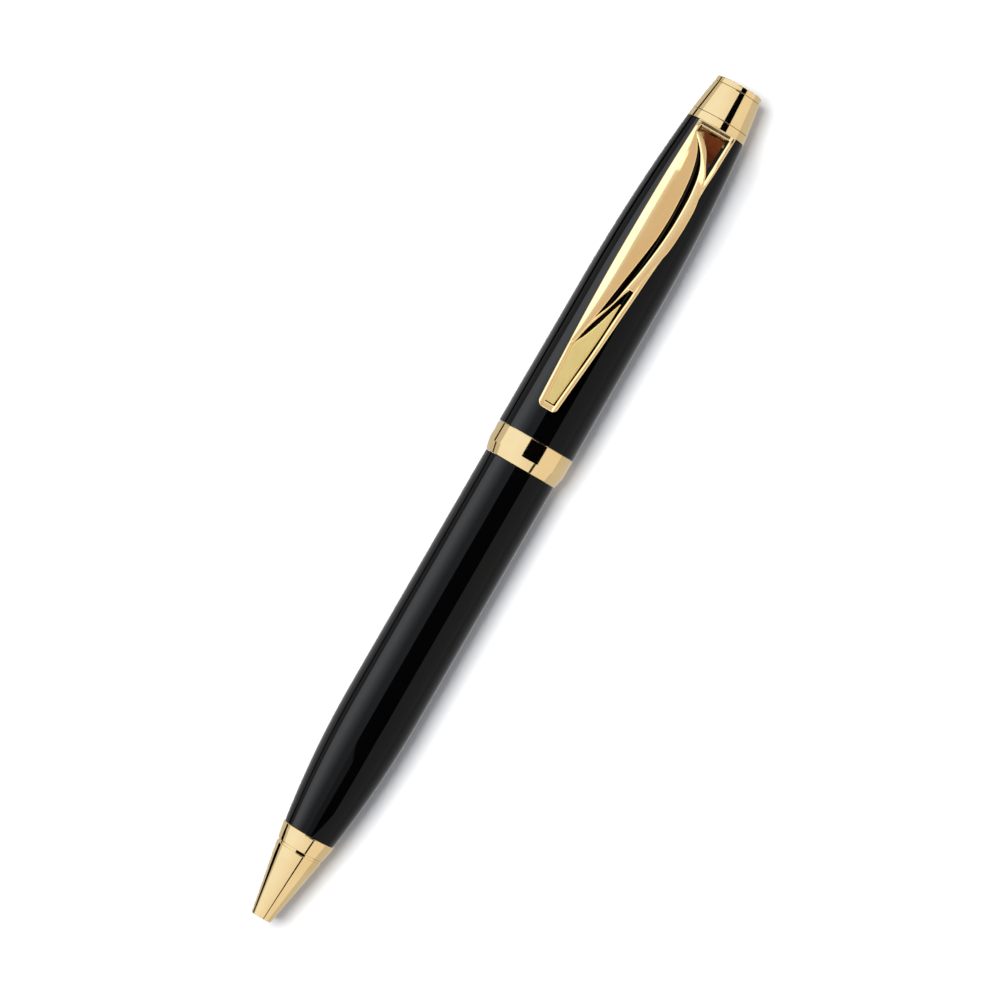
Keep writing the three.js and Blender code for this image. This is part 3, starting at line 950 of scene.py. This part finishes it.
def build_floor():
    bm = bmesh.new()
    bmesh.ops.create_grid(bm, x_segments=4, y_segments=4, size=FLOOR_HALF)
    floor = link_mesh(bm, "floor")
    m = Nodes("white_sweep")
    m.set(Roughness=0.9, Specular_IOR_Level=0.0)
    m.colour(m.ramp(m.noise(3.0), (0.93, 0.93, 0.93), (0.95, 0.95, 0.95)))
    floor.data.materials.append(m.material)


def card(name, height, corners, radiance=(0.0, 0.0)):
    """A level card that shows only in reflections: black, or softly lit between two radiances."""
    bm = bmesh.new()
    bm.faces.new([bm.verts.new((x, y, height)) for x, y in corners])
    obj = link_mesh(bm, name)
    m = Nodes(name + "_card")
    m.set(Roughness=0.9, Specular_IOR_Level=0.0, Base_Color=(0, 0, 0, 1), Emission_Strength=1.0)
    low, high = radiance
    glow = m.ramp(m.noise(8.0), (low, low, low), (high, high, high))
    m.join(glow, m.shader.inputs["Emission Color"])
    obj.data.materials.append(m.material)
    obj.visible_camera = False
    obj.visible_diffuse = False
    obj.visible_shadow = False
    obj.visible_transmission = False


def panel_light(name, position, target, size, radiance, colour=(1, 1, 1), glossy=True, diffuse=True,
                only=None):
    """A rectangular light of a given radiance that faces target; size is along X, then across."""
    data = bpy.data.lights.new(name, "AREA")
    data.shape = "RECTANGLE"
    data.size, data.size_y = size
    data.energy = radiance * math.pi * size[0] * size[1]
    data.color = colour
    light = bpy.data.objects.new(name, data)
    bpy.context.scene.collection.objects.link(light)
    away = (Vector(position) - Vector(target)).normalized()
    lengthwise = Vector((1, 0, 0))
    lengthwise = (lengthwise - away * lengthwise.dot(away)).normalized()
    crosswise = away.cross(lengthwise)
    rotation = Matrix((lengthwise, crosswise, away)).transposed()
    light.matrix_world = Matrix.Translation(position) @ rotation.to_4x4()
    light.visible_camera = False
    light.visible_glossy = glossy
    light.visible_diffuse = diffuse
    if only is not None:
        light.light_linking.receiver_collection = only
    return light


def collection_of(name, pieces):
    """Pieces gathered for light linking; the collection isn't part of the scene."""
    group = bpy.data.collections.new(name)
    for piece in pieces:
        group.objects.link(bpy.data.objects[piece])
    return group


def build_world():
    """White surroundings, a little cooler on the leaf's side and warmer on the other."""
    world = bpy.data.worlds.new("studio")
    bpy.context.scene.world = world
    world.use_nodes = True
    tree = world.node_tree
    tree.nodes.clear()
    coordinates = tree.nodes.new("ShaderNodeTexCoord")
    split = tree.nodes.new("ShaderNodeSeparateXYZ")
    ramp = tree.nodes.new("ShaderNodeValToRGB")
    across = tree.nodes.new("ShaderNodeMapRange")
    background = tree.nodes.new("ShaderNodeBackground")
    output = tree.nodes.new("ShaderNodeOutputWorld")
    across.inputs["From Min"].default_value = -1.0
    across.inputs["From Max"].default_value = 1.0
    ramp.color_ramp.elements[0].position = 0.2
    ramp.color_ramp.elements[0].color = (0.90, 0.88, 0.86, 1)
    ramp.color_ramp.elements[1].position = 0.85
    ramp.color_ramp.elements[1].color = (1.0, 1.08, 1.22, 1)
    tree.links.new(coordinates.outputs["Generated"], split.inputs["Vector"])
    tree.links.new(split.outputs["Y"], across.inputs["Value"])
    tree.links.new(across.outputs["Result"], ramp.inputs["Fac"])
    tree.links.new(ramp.outputs["Color"], background.inputs["Color"])
    tree.links.new(background.outputs["Background"], output.inputs["Surface"])
    world.cycles_visibility.diffuse = False


def across_direction(angle):
    """A direction square to the pen, at an angle from straight up; positive leans to -Y."""
    return Vector((0, -math.sin(math.radians(angle)), math.cos(math.radians(angle))))


def build_lights():
    centre = place(LENGTH / 2, 0, 0)
    build_floor_lights(centre)
    build_lacquer_bank(centre)
    build_clip_reflectors(centre)


def build_floor_lights(centre):
    """Key and fill light the floor and throw the soft shadow; they don't show in the polished metal."""
    key_from = centre + across_direction(-17.0)
    panel_light("key", key_from, centre, (0.38, 0.38), 22.0, glossy=False)
    fill_from = centre + Vector((0, 0, 1.2))
    panel_light("fill", fill_from, centre, (3.0, 3.0), 0.62, (0.95, 0.97, 1.03), glossy=False)


def build_lacquer_bank(centre):
    """A graded bank of strips on the leaf's side gives the lacquer its broad soft band."""
    lacquered = collection_of("lacquered", ("lower_barrel_tube", "upper_barrel_tube"))
    radiances = (0.35, 0.8, 1.3, 1.9, 2.5, 2.9, 2.9, 2.5, 2.1)
    first_angle, step = 38, 6
    radius = 0.5
    width = 2 * radius * math.tan(math.radians(step / 2))
    for i, radiance in enumerate(radiances):
        angle = first_angle + step * i
        position = centre + across_direction(-angle) * radius
        panel_light(f"bank_{angle}", position, centre, (1.6, width), radiance, diffuse=False, only=lacquered)


def build_clip_reflectors(centre):
    """Two reflectors close over the clip keep its level faces bright."""
    clip_only = collection_of("clip_pieces", ("clip_arm_pierced", "clip_lower_panel"))
    for name, side, colour, radiance in (
        ("reflector_left", 1, (1.0, 1.03, 1.10), 0.72),
        ("reflector_right", -1, (0.72, 0.63, 0.57), 1.0),
    ):
        position = centre + Vector((0, side * 0.125, 0.25))
        panel_light(name, position, position - Vector((0, 0, 1)), (0.9, 0.25), radiance, colour,
                    diffuse=False, only=clip_only)


CARD_HEIGHT = AXIS_Z + 0.70
GLOW_HEIGHT = AXIS_Z * 0.04
EDGE_HEIGHT = AXIS_Z * 0.07


def build_overhead_cards():
    """The dark camera side over the pen, which makes the black stripe along it."""
    card("overhead_card", CARD_HEIGHT, [
        (-0.155, 0.170), (0.130, 0.170), (0.155, -0.140), (1.600, -0.140), (1.600, -0.600),
        (-0.155, -0.515), (-0.352, -0.660), (-0.352, -0.120), (-0.185, -0.080),
    ])
    # Towards the nose the stripe is half as wide; a dim card takes over from the black one.
    card("overhead_haze", CARD_HEIGHT, [
        (-0.155, 0.170), (-0.185, -0.080), (-0.352, -0.120), (-0.352, 0.140),
    ], (0.58, 0.64))
    # The steep gold parts look further out, and see these two: the finial, then the nose and collar.
    card("overhead_finial", CARD_HEIGHT, [(0.42, 0.12), (1.60, 0.12), (1.60, -0.14), (0.42, -0.14)])
    card("overhead_edge", CARD_HEIGHT, [
        (-0.385, -0.370), (-0.385, -0.490), (-0.800, -0.540), (-0.800, -0.370),
    ])


def build_low_cards():
    """What the polished metal sees of the floor, and the dark edge beside the pen on the leaf's side."""
    card("floor_glow", GLOW_HEIGHT, [(-2, -2), (2, -2), (2, 2), (-2, 2)], (0.62, 0.66))
    card("side_edge", EDGE_HEIGHT, [
        (-0.300, 0.011), (-0.064, 0.012), (-0.058, 0.0255), (0.003, 0.0255), (0.006, 0.0205),
        (0.055, 0.017), (0.300, 0.016), (0.300, 0.0275), (0.055, 0.0260), (0.006, 0.0265),
        (0.003, 0.0345), (-0.058, 0.0345), (-0.064, 0.036), (-0.300, 0.038),
    ])


def build_camera():
    """Nearly straight down, a little from the finial's side, turned so the pen leans 30 degrees."""
    data = bpy.data.cameras.new("camera")
    data.sensor_width = 36.0
    data.lens = 159.7
    data.clip_start = 0.01
    camera = bpy.data.objects.new("camera", data)
    bpy.context.scene.collection.objects.link(camera)
    target = place(70.3, 0.23, 0)
    eye = place(74.0, 0.0, 648.6)
    away = (eye - target).normalized()
    lean = math.radians(30.0)
    up = Vector((math.cos(lean), math.sin(lean), 0))
    up = (up - away * up.dot(away)).normalized()
    right = up.cross(away)
    camera.matrix_world = Matrix.Translation(eye) @ Matrix((right, up, away)).transposed().to_4x4()
    bpy.context.scene.camera = camera


build_floor()
build_world()
build_lights()
build_overhead_cards()
build_low_cards()
build_camera()

view = bpy.context.scene.view_settings
view.view_transform = "Standard"
view.look = "None"
view.exposure = 0.0
view.gamma = 1.0
